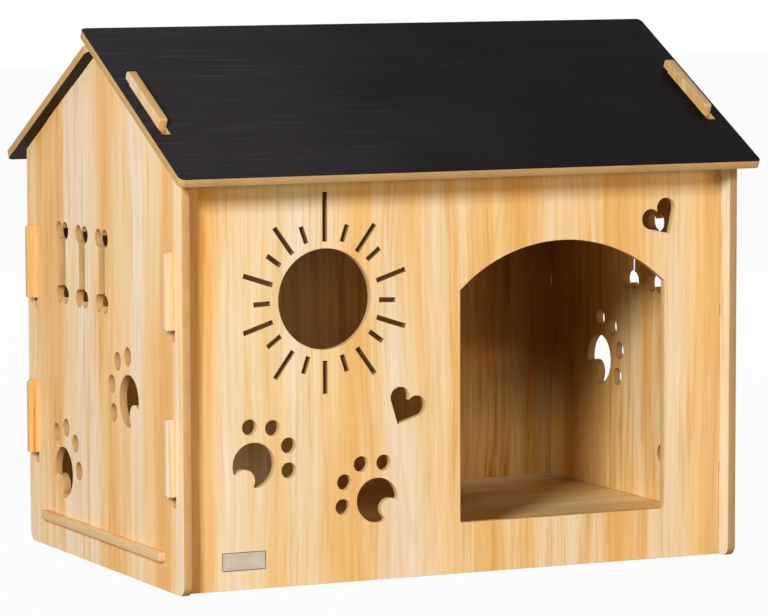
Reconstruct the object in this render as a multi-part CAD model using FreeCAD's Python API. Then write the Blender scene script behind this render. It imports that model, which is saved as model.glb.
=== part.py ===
"""Flat-pack dog kennel of seven laminated boards that hook together without screws.

Two gable panels carry everything. The front and back walls have hooked tabs that reach through
upright slots in the gables, and the gables drop over the hooks. The floor has plain tabs in long
level slots. Fins on top of the gables pass through slots in the two roof boards, and the roof
boards slide down the slope until the fins' lips hold them.

Every board is drawn flat, as u and v with w as its thickness, and then set up in its place.
All lengths are in millimetres. X runs along the ridge, the front faces -Y, and Z = 0 is the
ground. The origin lies under the middle of the kennel.
"""
import FreeCAD, Part
import math
import os

# Boards and fits
BOARD = 9.0
SLOT_PLAY = 0.25
SEAT_GAP = 0.2
SIDE_GAP = 0.25

# Overall house
HOUSE_LENGTH = 650.0
GABLE_DEPTH = 453.0
SHOULDER_HEIGHT = 438.5
ROOF_PITCH = 27.6
WALL_RECESS = 20.5
WALL_TOP_GAP = 0.6
FOOT_RADIUS = 12.0

# Roof boards
ROOF_END_OVERHANG = 13.5
EAVE_OVERHANG = 29.0
RIDGE_LAP = 29.7
ROOF_CORNER_RADIUS = 6.5

# Hooked tabs on the two walls, as heights above the ground
HOOK_BOTTOMS = (102.0, 275.0)
HOOK_LENGTH = 81.0
HOOK_LIP = 11.0
HOOK_PROUD = 10.5
HOOK_TOP_RADIUS = 4.5
HOOK_BOTTOM_RADIUS = 2.0
LIP_EDGE_RADIUS = 1.2

# Fins on the gables, as distances up the slope from the shoulder
FIN_START = 74.5
FIN_LENGTH = 102.0
FIN_LIP = 12.2
FIN_PROUD = 10.5
FIN_TOP_RADIUS = 4.5
FIN_BOTTOM_RADIUS = 3.0
SLOT_SPARE = 1.0

# Floor
FLOOR_UNDERSIDE = 31.0
FLOOR_TAB_LENGTH = 347.6
FLOOR_TAB_PROUD = 7.0
FLOOR_TAB_RADIUS = 1.5
FLOOR_EDGE_GAP = 0.5

# Doorway in the front wall
DOOR_WIDTH = 246.0
DOOR_FROM_RIGHT_END = 77.7
DOOR_SILL = 54.4
DOOR_SPRING = 303.2
DOOR_CROWN = 352.2
DOOR_CORNER_RADIUS = 3.0

# Sun in the front wall; ray lengths count from the middle of their ring
SUN_FROM_LEFT_END = 169.3
SUN_HEIGHT = 300.4
SUN_DIAMETER = 106.2
RAY_WIDTH = 5.0
RAY_START = 62.6
LONG_RAY_COUNT = 10
LONG_RAY_END = 97.2
TOP_RAY_END = 114.2
LONG_RAY_DROP = 2.3
SHORT_RAY_END = 81.0
SHORT_RAY_BEARINGS = (18.4, 51.0, 93.0, 125.5, 162.0, 198.0, 234.0, 268.0, 306.0, 340.5)

# Hearts in the front wall: tip from the left end, tip height, and lean to the left in degrees
HEARTS = ((252.9, 164.3, -28.0), (579.0, 354.2, 33.0))
HEART_LOBE_RADIUS = 11.0
HEART_LOBE_SPREAD = 10.8
HEART_LOBE_HEIGHT = 26.5

# Paw of the front wall; the gables have the same paw, larger and seen from behind
PAW_PAD_RADIUS = 23.9
PAW_BITE_RADIUS = 11.75
PAW_BITE_REACH = 18.9
PAW_BITE_SKEW = 13.5
PAW_TIP_RADIUS = 2.2
PAW_TOE_DIAMETER = 16.8
PAW_TOES = ((-53.6, 40.4), (-17.6, 43.7), (17.6, 43.7), (53.6, 40.4))
GABLE_PAW_SCALE = 1.17

# Paws: middle of the pad from the left end or from the rear edge, its height, way the toes point
FRONT_PAWS = ((87.6, 129.9, 43.0), (229.2, 84.7, 133.2))
GABLE_PAWS = ((106.2, 88.5, 62.0), (302.9, 187.8, 147.0))

# Bones in the gables
BONE_COUNT = 3
BONE_PITCH = 59.0
BONE_MIDDLE_HEIGHT = 320.0
BONE_LENGTH = 89.5
BONE_STEM_WIDTH = 18.6
BONE_KNOB_RADIUS = 9.6
BONE_KNOB_SPREAD = 9.1

# Room that a cutting tool takes on both faces of a board
TOOL_MARGIN = 1.0

# How near two places count as one, and how far towards the bite, as a share of the pad's
# radius, its tips are looked for
SAME_PLACE = 0.01
BITE_SIDE = 0.2

PITCH = math.radians(ROOF_PITCH)
HALF_LENGTH = HOUSE_LENGTH / 2
HALF_DEPTH = GABLE_DEPTH / 2
SLOPE_TO_APEX = HALF_DEPTH / math.cos(PITCH)
APEX_HEIGHT = SHOULDER_HEIGHT + HALF_DEPTH * math.tan(PITCH)
SLOT_WIDTH = BOARD + 2 * SLOT_PLAY


def point(u, v):
    """Point of the flat drawing."""
    return FreeCAD.Vector(u, v, 0)


def outline(corners):
    """Closed wire through (u, v, radius) corners, each rounded by an arc where its radius is not 0."""
    rounded = []
    for i, (u, v, radius) in enumerate(corners):
        here = point(u, v)
        before = point(*corners[i - 1][:2]) - here
        after = point(*corners[(i + 1) % len(corners)][:2]) - here
        before.normalize()
        after.normalize()
        half_angle = before.getAngle(after) / 2
        if radius == 0:
            rounded.append((here, None, here))
            continue
        reach = radius / math.tan(half_angle)
        middle = before + after
        middle.normalize()
        arc_middle = here + middle * (radius / math.sin(half_angle) - radius)
        rounded.append((here + before * reach, arc_middle, here + after * reach))
    edges = []
    for i, (_, _, leave) in enumerate(rounded):
        arrive, arc_middle, onward = rounded[(i + 1) % len(rounded)]
        edges.append(Part.LineSegment(leave, arrive).toShape())
        if arc_middle is not None:
            edges.append(Part.Arc(arrive, arc_middle, onward).toShape())
    return Part.Wire(edges)


def board(wire, cutters=()):
    """Flat board from an outline, from w = 0 to its outer face, with its cut-outs taken out."""
    solid = Part.Face(wire).extrude(FreeCAD.Vector(0, 0, BOARD))
    if cutters:
        solid = solid.cut(list(cutters))
    return solid.Solids[0]


def cutter(wire):
    """Cutting tool of an outline, through the whole board and past both faces."""
    tool = Part.Face(wire).extrude(FreeCAD.Vector(0, 0, BOARD + 2 * TOOL_MARGIN))
    tool.translate(FreeCAD.Vector(0, 0, -TOOL_MARGIN))
    return tool


def disc(u, v, radius):
    """Round cutting tool."""
    return Part.makeCylinder(radius, BOARD + 2 * TOOL_MARGIN, FreeCAD.Vector(u, v, -TOOL_MARGIN))


def box_tool(u_low, u_high, v_low, v_high):
    """Square-cornered cutting tool."""
    corners = ((u_low, v_low, 0), (u_high, v_low, 0), (u_high, v_high, 0), (u_low, v_high, 0))
    return cutter(outline(corners))


def set_up(solid, origin, u_axis, v_axis):
    """Board moved from its drawing to the place where origin, u_axis and v_axis put it."""
    u = FreeCAD.Vector(*u_axis)
    v = FreeCAD.Vector(*v_axis)
    w = u.cross(v)
    matrix = FreeCAD.Matrix(
        u.x, v.x, w.x, origin[0],
        u.y, v.y, w.y, origin[1],
        u.z, v.z, w.z, origin[2],
        0, 0, 0, 1)
    placed = solid.copy()
    placed.Placement = FreeCAD.Placement(matrix)
    return placed


def doorway():
    """Arched doorway: square sides, rounded sill corners and a flat segmental arch."""
    left = HALF_LENGTH - DOOR_FROM_RIGHT_END - DOOR_WIDTH
    right = HALF_LENGTH - DOOR_FROM_RIGHT_END
    radius = DOOR_CORNER_RADIUS
    corner_shift = radius * (1 - math.sqrt(0.5))
    sill_left = point(left + radius, DOOR_SILL)
    sill_right = point(right - radius, DOOR_SILL)
    jamb_left = point(left, DOOR_SILL + radius)
    jamb_right = point(right, DOOR_SILL + radius)
    spring_left = point(left, DOOR_SPRING)
    spring_right = point(right, DOOR_SPRING)
    crown = point((left + right) / 2, DOOR_CROWN)
    edges = [
        Part.LineSegment(sill_left, sill_right).toShape(),
        Part.Arc(sill_right, point(right - corner_shift, DOOR_SILL + corner_shift), jamb_right).toShape(),
        Part.LineSegment(jamb_right, spring_right).toShape(),
        Part.Arc(spring_right, crown, spring_left).toShape(),
        Part.LineSegment(spring_left, jamb_left).toShape(),
        Part.Arc(jamb_left, point(left + corner_shift, DOOR_SILL + corner_shift), sill_left).toShape(),
    ]
    return cutter(Part.Wire(edges))


def ray(u, v, bearing, start, end):
    """Square-ended slit that points away from (u, v), its bearing clockwise from straight up."""
    tool = box_tool(-RAY_WIDTH / 2, RAY_WIDTH / 2, start, end)
    tool.rotate(point(0, 0), FreeCAD.Vector(0, 0, 1), -bearing)
    tool.translate(point(u, v))
    return tool


def sun():
    """Round window with ten long rays, the topmost the longest, and short ones between them.

    The ring of long rays is even and a little lower than the window; the short rays are not even.
    """
    u = SUN_FROM_LEFT_END - HALF_LENGTH
    tools = [disc(u, SUN_HEIGHT, SUN_DIAMETER / 2)]
    for i in range(LONG_RAY_COUNT):
        end = LONG_RAY_END if i else TOP_RAY_END
        tools.append(ray(u, SUN_HEIGHT - LONG_RAY_DROP, 360.0 * i / LONG_RAY_COUNT, RAY_START, end))
    for bearing in SHORT_RAY_BEARINGS:
        tools.append(ray(u, SUN_HEIGHT, bearing, RAY_START, SHORT_RAY_END))
    return tools


def heart(u, v, lean):
    """Heart of two round lobes whose tangents meet at the tip, leaning to the left by lean."""
    reach = math.hypot(HEART_LOBE_SPREAD, HEART_LOBE_HEIGHT)
    side = math.sqrt(reach ** 2 - HEART_LOBE_RADIUS ** 2)
    angle = math.atan2(HEART_LOBE_HEIGHT, HEART_LOBE_SPREAD) - math.asin(HEART_LOBE_RADIUS / reach)
    flank = point(side * math.cos(angle), side * math.sin(angle))
    bulge = HEART_LOBE_RADIUS * math.sqrt(0.5)
    shoulder = point(HEART_LOBE_SPREAD + bulge, HEART_LOBE_HEIGHT + bulge)
    rise = math.sqrt(HEART_LOBE_RADIUS ** 2 - HEART_LOBE_SPREAD ** 2)
    cleft = point(0, HEART_LOBE_HEIGHT + rise)
    tip = point(0, 0)
    left_flank = point(-flank.x, flank.y)
    left_shoulder = point(-shoulder.x, shoulder.y)
    edges = [
        Part.LineSegment(tip, flank).toShape(),
        Part.Arc(flank, shoulder, cleft).toShape(),
        Part.Arc(cleft, left_shoulder, left_flank).toShape(),
        Part.LineSegment(left_flank, tip).toShape(),
    ]
    tool = cutter(Part.Wire(edges))
    tool.rotate(point(0, 0), FreeCAD.Vector(0, 0, 1), lean)
    tool.translate(point(u, v))
    return tool


def paw(u, v, aim, scale=1.0, skew=PAW_BITE_SKEW):
    """Paw print: a round pad with a round bite behind it, and four toes on the side of aim."""
    back = math.radians(aim + 180 + skew)
    reach = PAW_BITE_REACH * scale
    pad = disc(u, v, PAW_PAD_RADIUS * scale)
    bite = disc(u + reach * math.cos(back), v + reach * math.sin(back), PAW_BITE_RADIUS * scale)
    pad = pad.cut(bite)
    tips = [edge for edge in pad.Edges if is_tip(edge, u, v, PAW_PAD_RADIUS * scale, back)]
    tools = [pad.makeFillet(PAW_TIP_RADIUS * scale, tips)]
    for turn, toe_reach in PAW_TOES:
        angle = math.radians(aim + turn)
        toe_u = u + toe_reach * scale * math.cos(angle)
        toe_v = v + toe_reach * scale * math.sin(angle)
        tools.append(disc(toe_u, toe_v, PAW_TOE_DIAMETER / 2 * scale))
    return tools


def is_tip(edge, u, v, radius, back):
    """Whether an edge is one of the pad's two upright edges where the bite meets the rim."""
    start, end = edge.Vertexes[0].Point, edge.Vertexes[-1].Point
    upright = math.hypot(start.x - end.x, start.y - end.y) < SAME_PLACE
    long_enough = abs(start.z - end.z) > BOARD
    on_rim = abs(math.hypot(start.x - u, start.y - v) - radius) < SAME_PLACE
    towards_bite = (start.x - u) * math.cos(back) + (start.y - v) * math.sin(back)
    return upright and long_enough and on_rim and towards_bite > BITE_SIDE * radius


def bone(u):
    """Upright bone: a straight stem with two round knobs at each end."""
    knob_rise = BONE_LENGTH / 2 - BONE_KNOB_RADIUS
    half_stem = BONE_STEM_WIDTH / 2
    low = BONE_MIDDLE_HEIGHT - knob_rise
    high = BONE_MIDDLE_HEIGHT + knob_rise
    tools = [box_tool(u - half_stem, u + half_stem, low, high)]
    for side in (-1, 1):
        for v in (low, high):
            tools.append(disc(u + side * BONE_KNOB_SPREAD, v, BONE_KNOB_RADIUS))
    return tools


def wall_outline():
    """Outline of the front and back walls, with two hooked tabs on each side."""
    body = HALF_LENGTH - BOARD - SIDE_GAP
    lip = HALF_LENGTH + SIDE_GAP
    outer = HALF_LENGTH + HOOK_PROUD
    top = SHOULDER_HEIGHT + WALL_RECESS * math.tan(PITCH) - WALL_TOP_GAP
    side = [(body, 0, 0)]
    for bottom in HOOK_BOTTOMS:
        hook_top = bottom + HOOK_LENGTH
        neck_top = hook_top - HOOK_LIP
        side += [
            (body, bottom, 0),
            (outer, bottom, HOOK_BOTTOM_RADIUS),
            (outer, hook_top, HOOK_TOP_RADIUS),
            (lip, hook_top, LIP_EDGE_RADIUS),
            (lip, neck_top, 0),
            (body, neck_top, 0),
        ]
    side.append((body, top, 0))
    mirrored = [(-u, v, radius) for u, v, radius in reversed(side)]
    return outline(side + mirrored)


def gable_outline():
    """Outline of a gable: rounded feet, square shoulders, and a fin on each slope of its roof line."""
    lip = SEAT_GAP + BOARD + SLOT_PLAY
    top = SEAT_GAP + BOARD + FIN_PROUD
    end = FIN_START + FIN_LENGTH
    neck_end = end - FIN_LIP
    slope = [
        (0, 0, 0),
        (FIN_START, 0, 0),
        (FIN_START, top, FIN_BOTTOM_RADIUS),
        (end, top, FIN_TOP_RADIUS),
        (end, lip, LIP_EDGE_RADIUS),
        (neck_end, lip, 0),
        (neck_end, 0, 0),
    ]
    front = [(HALF_DEPTH, 0, FOOT_RADIUS)]
    for along, out, radius in slope:
        u = HALF_DEPTH - along * math.cos(PITCH) + out * math.sin(PITCH)
        v = SHOULDER_HEIGHT + along * math.sin(PITCH) + out * math.cos(PITCH)
        front.append((u, v, radius))
    rear = [(-u, v, radius) for u, v, radius in reversed(front)]
    return outline(front + [(0, APEX_HEIGHT, 0)] + rear)


def wall_slots():
    """Slots of a gable for the hooked tabs of both walls."""
    tools = []
    nearest = WALL_RECESS - SLOT_PLAY
    for bottom in HOOK_BOTTOMS:
        high = bottom + HOOK_LENGTH - HOOK_LIP + SEAT_GAP
        low = high - HOOK_LENGTH - SLOT_SPARE
        for side in (-1, 1):
            edges = sorted((side * (HALF_DEPTH - nearest), side * (HALF_DEPTH - nearest - SLOT_WIDTH)))
            tools.append(box_tool(edges[0], edges[1], low, high))
    return tools


def floor_slot():
    """Long level slot of a gable for the floor's tab."""
    half = FLOOR_TAB_LENGTH / 2 + SLOT_PLAY
    low = FLOOR_UNDERSIDE - SLOT_PLAY
    return box_tool(-half, half, low, low + SLOT_WIDTH)


def roof_slots():
    """Slots of a roof board for the fins of both gables, with v up the slope from the shoulder."""
    high = FIN_START + FIN_LENGTH - FIN_LIP + SEAT_GAP
    low = high - FIN_LENGTH - SLOT_SPARE
    tools = []
    for side in (-1, 1):
        edges = sorted((side * (HALF_LENGTH + SLOT_PLAY), side * (HALF_LENGTH + SLOT_PLAY - SLOT_WIDTH)))
        tools.append(box_tool(edges[0], edges[1], low, high))
    return tools


def make_wall(cutters, facing):
    """Wall board with its outer face towards facing, -1 for the front and 1 for the back."""
    flat = board(wall_outline(), cutters)
    inner_face = facing * (HALF_DEPTH - WALL_RECESS - BOARD)
    return set_up(flat, (0, inner_face, 0), (-facing, 0, 0), (0, 0, 1))


def front_panel():
    """Front wall with the doorway, the sun, two hearts and two paws."""
    cutters = [doorway()] + sun()
    for from_left, height, lean in HEARTS:
        cutters.append(heart(from_left - HALF_LENGTH, height, lean))
    for from_left, height, aim in FRONT_PAWS:
        cutters += paw(from_left - HALF_LENGTH, height, aim)
    return make_wall(cutters, -1)


def back_panel():
    """Back wall: the same board as the front, left closed."""
    return make_wall([], 1)


def make_gable(facing):
    """Gable board with its outer face towards facing, -1 for the left and 1 for the right.

    Both gables are the same board, so the right one is the left one turned half round.
    """
    cutters = wall_slots() + [floor_slot()]
    for i in range(BONE_COUNT):
        cutters += bone(-i * BONE_PITCH)
    for from_rear, height, aim in GABLE_PAWS:
        cutters += paw(from_rear - HALF_DEPTH, height, aim, GABLE_PAW_SCALE, -PAW_BITE_SKEW)
    flat = board(gable_outline(), cutters)
    inner_face = facing * (HALF_LENGTH - BOARD)
    return set_up(flat, (inner_face, 0, 0), (0, facing, 0), (0, 0, 1))


def floor_panel():
    """Floor board with a long plain tab at each end."""
    body = HALF_LENGTH - BOARD - SIDE_GAP
    outer = HALF_LENGTH + FLOOR_TAB_PROUD
    edge = HALF_DEPTH - WALL_RECESS - BOARD - FLOOR_EDGE_GAP
    half_tab = FLOOR_TAB_LENGTH / 2
    right = [
        (body, -edge, 0),
        (body, -half_tab, 0),
        (outer, -half_tab, FLOOR_TAB_RADIUS),
        (outer, half_tab, FLOOR_TAB_RADIUS),
        (body, half_tab, 0),
        (body, edge, 0),
    ]
    left = [(-u, -v, radius) for u, v, radius in right]
    flat = board(outline(right + left))
    return set_up(flat, (0, 0, FLOOR_UNDERSIDE), (1, 0, 0), (0, 1, 0))


def make_roof(facing, upper_edge):
    """Roof board over the slope towards facing, up to upper_edge along the slope."""
    half = HALF_LENGTH + ROOF_END_OVERHANG
    corners = (
        (-half, -EAVE_OVERHANG, ROOF_CORNER_RADIUS),
        (half, -EAVE_OVERHANG, ROOF_CORNER_RADIUS),
        (half, upper_edge, ROOF_CORNER_RADIUS),
        (-half, upper_edge, ROOF_CORNER_RADIUS),
    )
    flat = board(outline(corners), roof_slots())
    shoulder = facing * HALF_DEPTH
    outward = (facing * math.sin(PITCH), math.cos(PITCH))
    origin = (0, shoulder + SEAT_GAP * outward[0], SHOULDER_HEIGHT + SEAT_GAP * outward[1])
    up_slope = (0, -facing * math.cos(PITCH), math.sin(PITCH))
    return set_up(flat, origin, (-facing, 0, 0), up_slope)


def front_roof_panel():
    """Front roof board, which runs on past the ridge and laps over the rear one."""
    return make_roof(-1, SLOPE_TO_APEX + RIDGE_LAP)


def rear_roof_panel():
    """Rear roof board, whose square upper edge butts under the front one."""
    apex_shift = SEAT_GAP * math.tan(PITCH)
    clear = BOARD / math.tan(2 * PITCH) + SEAT_GAP / math.sin(2 * PITCH)
    return make_roof(1, SLOPE_TO_APEX + apex_shift - clear)


def main():
    """Build every board and write it to its own file."""
    boards = {
        "front_panel": front_panel(),
        "back_panel": back_panel(),
        "left_side_panel": make_gable(-1),
        "right_side_panel": make_gable(1),
        "floor_panel": floor_panel(),
        "front_roof_panel": front_roof_panel(),
        "rear_roof_panel": rear_roof_panel(),
    }
    os.makedirs("parts", exist_ok=True)
    for name, shape in boards.items():
        shape.exportStep("parts/%s.step" % name)
        box = shape.BoundBox
        print("%s: %d solid, valid %s, %.1f x %.1f x %.1f mm" % (
            name, len(shape.Solids), shape.isValid(), box.XLength, box.YLength, box.ZLength))


main()
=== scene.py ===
"""Dresses the flat-pack wooden kennel of hooked boards for a plain studio picture.

The boards come from the fixed frame. Each one is replaced by a merged copy with eased edges, a
printed laminate on its broad faces and bare fibreboard on its cut edges.
"""

import logging
import math
from dataclasses import dataclass, field, replace
from enum import Enum
from typing import Any, ClassVar, Sequence, Union

import bmesh
import bpy
from mathutils import Matrix, Vector


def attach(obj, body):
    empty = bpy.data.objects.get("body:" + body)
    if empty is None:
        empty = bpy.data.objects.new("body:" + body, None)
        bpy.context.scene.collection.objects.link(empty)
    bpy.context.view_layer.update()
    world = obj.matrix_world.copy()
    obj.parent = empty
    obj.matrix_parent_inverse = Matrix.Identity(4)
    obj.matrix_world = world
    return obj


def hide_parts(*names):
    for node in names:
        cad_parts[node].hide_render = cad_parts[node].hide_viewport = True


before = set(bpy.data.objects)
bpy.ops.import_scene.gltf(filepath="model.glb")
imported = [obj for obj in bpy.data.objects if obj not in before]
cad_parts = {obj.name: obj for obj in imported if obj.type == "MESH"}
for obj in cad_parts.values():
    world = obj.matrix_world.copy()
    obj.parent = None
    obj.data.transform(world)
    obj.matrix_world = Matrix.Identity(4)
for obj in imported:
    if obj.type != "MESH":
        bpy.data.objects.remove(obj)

LOG = logging.getLogger("kennel")
Colour = tuple[float, float, float, float]
Number = Union[int, float]
Span = tuple[float, float]
Stops = Sequence[tuple[float, Colour]]

WHITE = (1.0, 1.0, 1.0, 1.0)
HALF = 0.5


def srgb(red: Number, green: Number, blue: Number) -> Colour:
    """Turns an 8-bit display colour into the linear colour that a shader takes.

    Args:
        red: red, 0 to 255.
        green: green, 0 to 255.
        blue: blue, 0 to 255.

    Returns:
        The linear colour with full alpha.
    """
    linear = []
    for channel in (red, green, blue):
        value = channel / 255
        linear.append(value / 12.92 if value <= 0.04045 else ((value + 0.055) / 1.055) ** 2.4)
    return (linear[0], linear[1], linear[2], 1.0)


# ---------------------------------------------------------------- node graphs


class Socket:
    """An output socket whose arithmetic adds Math nodes to its tree."""

    def __init__(self, graph: "Graph", output: bpy.types.NodeSocket) -> None:
        """Keeps a node's output and the graph that new nodes are added to."""
        self.graph = graph
        self.output = output

    def math(self, operation: str, *values: Union["Socket", Number]) -> "Socket":
        """Adds a Math node and gives its result."""
        sockets = dict(enumerate(values))
        return self.graph.add("ShaderNodeMath", {"operation": operation}, sockets)

    def __add__(self, other: Union["Socket", Number]) -> "Socket":
        """Adds a value."""
        return self.math("ADD", self, other)

    def __radd__(self, other: Union["Socket", Number]) -> "Socket":
        """Is added to a value."""
        return self.math("ADD", other, self)

    def __sub__(self, other: Union["Socket", Number]) -> "Socket":
        """Takes a value away."""
        return self.math("SUBTRACT", self, other)

    def __rsub__(self, other: Union["Socket", Number]) -> "Socket":
        """Is taken from a value."""
        return self.math("SUBTRACT", other, self)

    def __mul__(self, other: Union["Socket", Number]) -> "Socket":
        """Multiplies by a value."""
        return self.math("MULTIPLY", self, other)

    def __rmul__(self, other: Union["Socket", Number]) -> "Socket":
        """Multiplies a value."""
        return self.math("MULTIPLY", other, self)

    def fraction(self) -> "Socket":
        """Gives the part after the decimal point."""
        return self.math("FRACT", self)

    def size(self) -> "Socket":
        """Gives the value without its sign."""
        return self.math("ABSOLUTE", self)

    def larger(self, other: Union["Socket", Number]) -> "Socket":
        """Gives the larger of two values."""
        return self.math("MAXIMUM", self, other)

    def step(self, low: float, high: float) -> "Socket":
        """Rises smoothly from 0 at the low value to 1 at the high one."""
        sockets = {"Value": self, "From Min": low, "From Max": high}
        return self.graph.add("ShaderNodeMapRange", {"interpolation_type": "SMOOTHSTEP"}, sockets)


class Graph:
    """Builds one node tree."""

    def __init__(self, tree: bpy.types.NodeTree) -> None:
        """Empties the tree that is to be filled."""
        self.tree = tree
        tree.nodes.clear()

    def add(
        self,
        kind: str,
        settings: dict[str, Any] | None = None,
        sockets: dict[Union[str, int], Any] | None = None,
        output: Union[str, int] = 0,
    ) -> Socket:
        """Adds a node, its settings first and its sockets after them.

        Args:
            kind: the node's type.
            settings: attributes of the node, and under "stops" a ramp's stops.
            sockets: values or links, by the input's name or number.
            output: the output that is wanted.

        Returns:
            That output.
        """
        node = self.tree.nodes.new(kind)
        for key, value in (settings or {}).items():
            if key == "stops":
                self.set_stops(node.color_ramp, value)
            else:
                setattr(node, key, value)
        for key, value in (sockets or {}).items():
            if isinstance(value, Socket):
                self.tree.links.new(value.output, node.inputs[key])
            else:
                node.inputs[key].default_value = value
        if not node.outputs:
            return Socket(self, None)
        return Socket(self, node.outputs[output])

    @staticmethod
    def set_stops(ramp: bpy.types.ColorRamp, stops: Stops) -> None:
        """Gives a ramp its stops.

        Args:
            ramp: the ramp.
            stops: positions and colours, lowest first.
        """
        while len(ramp.elements) > 1:
            ramp.elements.remove(ramp.elements[-1])
        ramp.elements[0].position = stops[0][0]
        ramp.elements[0].color = stops[0][1]
        for place, colour in stops[1:]:
            ramp.elements.new(place).color = colour

    def ramp(self, value: Socket, stops: Stops) -> Socket:
        """Turns a value from 0 to 1 into a colour, by stops with the lowest first."""
        return self.add("ShaderNodeValToRGB", {"stops": stops}, {"Fac": value})

    def mix(
        self, amount: Union[Socket, Number], first: Any, second: Any, blend: str = "MIX"
    ) -> Socket:
        """Mixes an amount, from 0 to 1, of the second colour into the first."""
        settings = {"data_type": "RGBA", "blend_type": blend}
        return self.add("ShaderNodeMix", settings, {0: amount, 6: first, 7: second}, 2)

    def lighten(self, colour: Socket, amount: Socket, weights: Sequence[float]) -> Socket:
        """Makes a colour lighter or darker, each channel by its own weight.

        Args:
            colour: the colour.
            amount: the change as a share of the colour, below 0 for darker.
            weights: how strongly red, green and blue follow.

        Returns:
            The changed colour.
        """
        part = {"Vector": weights, "Scale": amount}
        change = self.add("ShaderNodeVectorMath", {"operation": "SCALE"}, part)
        sockets = {0: colour, 1: change, 2: colour}
        return self.add("ShaderNodeVectorMath", {"operation": "MULTIPLY_ADD"}, sockets)

    def place(self) -> tuple[Socket, Socket, Socket]:
        """Gives the object coordinates, in metres.

        Returns:
            The x, y and z values.
        """
        where = self.add("ShaderNodeTexCoord", output="Object")
        parts = self.add("ShaderNodeSeparateXYZ", sockets={"Vector": where})
        node = parts.output.node
        return tuple(Socket(self, node.outputs[index]) for index in range(3))

    def noise(
        self,
        x: Union[Socket, Number],
        y: Union[Socket, Number],
        z: Union[Socket, Number] = 0.0,
        detail: float = 0.0,
        roughness: float = 0.5,
    ) -> Socket:
        """Adds a noise pattern with one cell per unit of its coordinates.

        Args:
            x: first coordinate, in cells.
            y: second coordinate, in cells.
            z: third coordinate, in cells.
            detail: number of finer layers.
            roughness: strength of the finer layers.

        Returns:
            The pattern's value, around 0.5.
        """
        point = self.add("ShaderNodeCombineXYZ", sockets={0: x, 1: y, 2: z})
        sockets = {"Vector": point, "Scale": 1.0, "Detail": detail, "Roughness": roughness}
        return self.add("ShaderNodeTexNoise", {"noise_dimensions": "3D"}, sockets)

    def surface(
        self,
        colour: Any,
        roughness: Any,
        height: Socket | None = None,
        depth: float = 0.0,
        constants: dict[str, Any] | None = None,
    ) -> None:
        """Ends the tree in a Principled shader.

        Args:
            colour: base colour.
            roughness: roughness.
            height: relief pattern, 0 to 1.
            depth: height of the relief in metres.
            constants: further sockets with one value all over.
        """
        sockets = {"Base Color": colour, "Roughness": roughness} | (constants or {})
        if height is not None:
            relief = {"Height": height, "Distance": depth, "Strength": 1.0}
            sockets["Normal"] = self.add("ShaderNodeBump", sockets=relief)
        shader = self.add("ShaderNodeBsdfPrincipled", sockets=sockets)
        self.add("ShaderNodeOutputMaterial", sockets={"Surface": shader})


def new_material(name: str) -> tuple[bpy.types.Material, Graph]:
    """Makes an empty node material.

    Args:
        name: the material's name.

    Returns:
        The material and the graph of its nodes.
    """
    material = bpy.data.materials.new(name)
    material.use_nodes = True
    return material, Graph(material.node_tree)


# ------------------------------------------------------------------- patterns


@dataclass(frozen=True)
class Layer:
    """One noise layer of a finish, in its own number of cells per metre.

    Attributes:
        u_cells: cells per metre in the pattern's first direction.
        v_cells: cells per metre in its second direction.
        place: place in the noise, counted from the board's seed.
        detail: number of finer layers, and roughness is their strength.
        strength: what the value, or the mark, counts for.
        edge: the value at which a mark starts, and the one at which it is full.
    """

    u_cells: float
    v_cells: float
    place: float
    detail: float = 0.0
    roughness: float = 0.5
    strength: float = 1.0
    edge: Span = (0.0, 1.0)

    def mark(self, value: Socket) -> Socket:
        """Turns the layer's value into a mark, which is as strong as the layer says."""
        return value.step(*self.edge) * self.strength


@dataclass(frozen=True)
class Pattern:
    """The coordinates that the layers of one finish share.

    Attributes:
        graph: the graph that takes the nodes.
        u: metres in the first direction, and v is metres in the second.
        seed: the board's place in every layer.
    """

    graph: Graph
    u: Socket
    v: Socket
    seed: float = 0.0

    def noise(self, layer: Layer) -> Socket:
        """Adds a layer and gives its value, around 0.5."""
        u, v = self.u * layer.u_cells, self.v * layer.v_cells
        return self.graph.noise(u, v, self.seed + layer.place, layer.detail, layer.roughness)

    def drift(self, layer: Layer) -> Socket:
        """Adds a layer as a shift around 0, with its strength as the reach in metres."""
        return (self.noise(layer) - HALF) * layer.strength


def vary(mean: float, *parts: tuple[Socket, float]) -> Socket:
    """Varies a value around its mean by patterns whose own mean is a half.

    Args:
        mean: the mean that is wanted.
        parts: the patterns, each with what it counts for.

    Returns:
        The varied value.
    """
    total = parts[0][0] * parts[0][1]
    for pattern, strength in parts[1:]:
        total = total + pattern * strength
    return total + (mean - sum(strength for _, strength in parts) * HALF)


# The pine print: u runs across the grain, v along it.
SWAY = Layer(3, 1.5, 0, strength=0.03)
BEND = Layer(11, 6, 1, strength=0.01)
RIPPLE = Layer(40, 16, 2, strength=0.003)
PLANK = Layer(7, 0.7, 5, strength=1.6)
BROAD = Layer(17, 1.5, 7, 1.0, strength=1.6)
NARROW = Layer(60, 3.2, 9, 2.0, 0.6, 0.95)
RINGS = Layer(15, 1.0, 23, 1.0, 0.35, 26, (0.5, 0.2))
RING_ZONE = Layer(9, 0.9, 29, edge=(0.47, 0.62))
RING_BREAK = Layer(60, 8, 30, edge=(0.35, 0.6))
GRAIN = Layer(520, 9, 31, 2.0, 0.65, 0.09, (0.52, 0.72))
CALM = Layer(14, 1.8, 33, strength=0.6, edge=(0.4, 0.62))
STREAK = Layer(200, 6, 37, 2.0, 0.6, 0.18, (0.53, 0.7))
PALE_STREAK = replace(STREAK, strength=0.08, edge=(0.46, 0.3))
THREAD = Layer(95, 4, 41, 1.0, strength=0.14, edge=(0.54, 0.72))
STAVE_STRENGTH = 0.32
STAVE_SMOOTHNESS = 0.3

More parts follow.
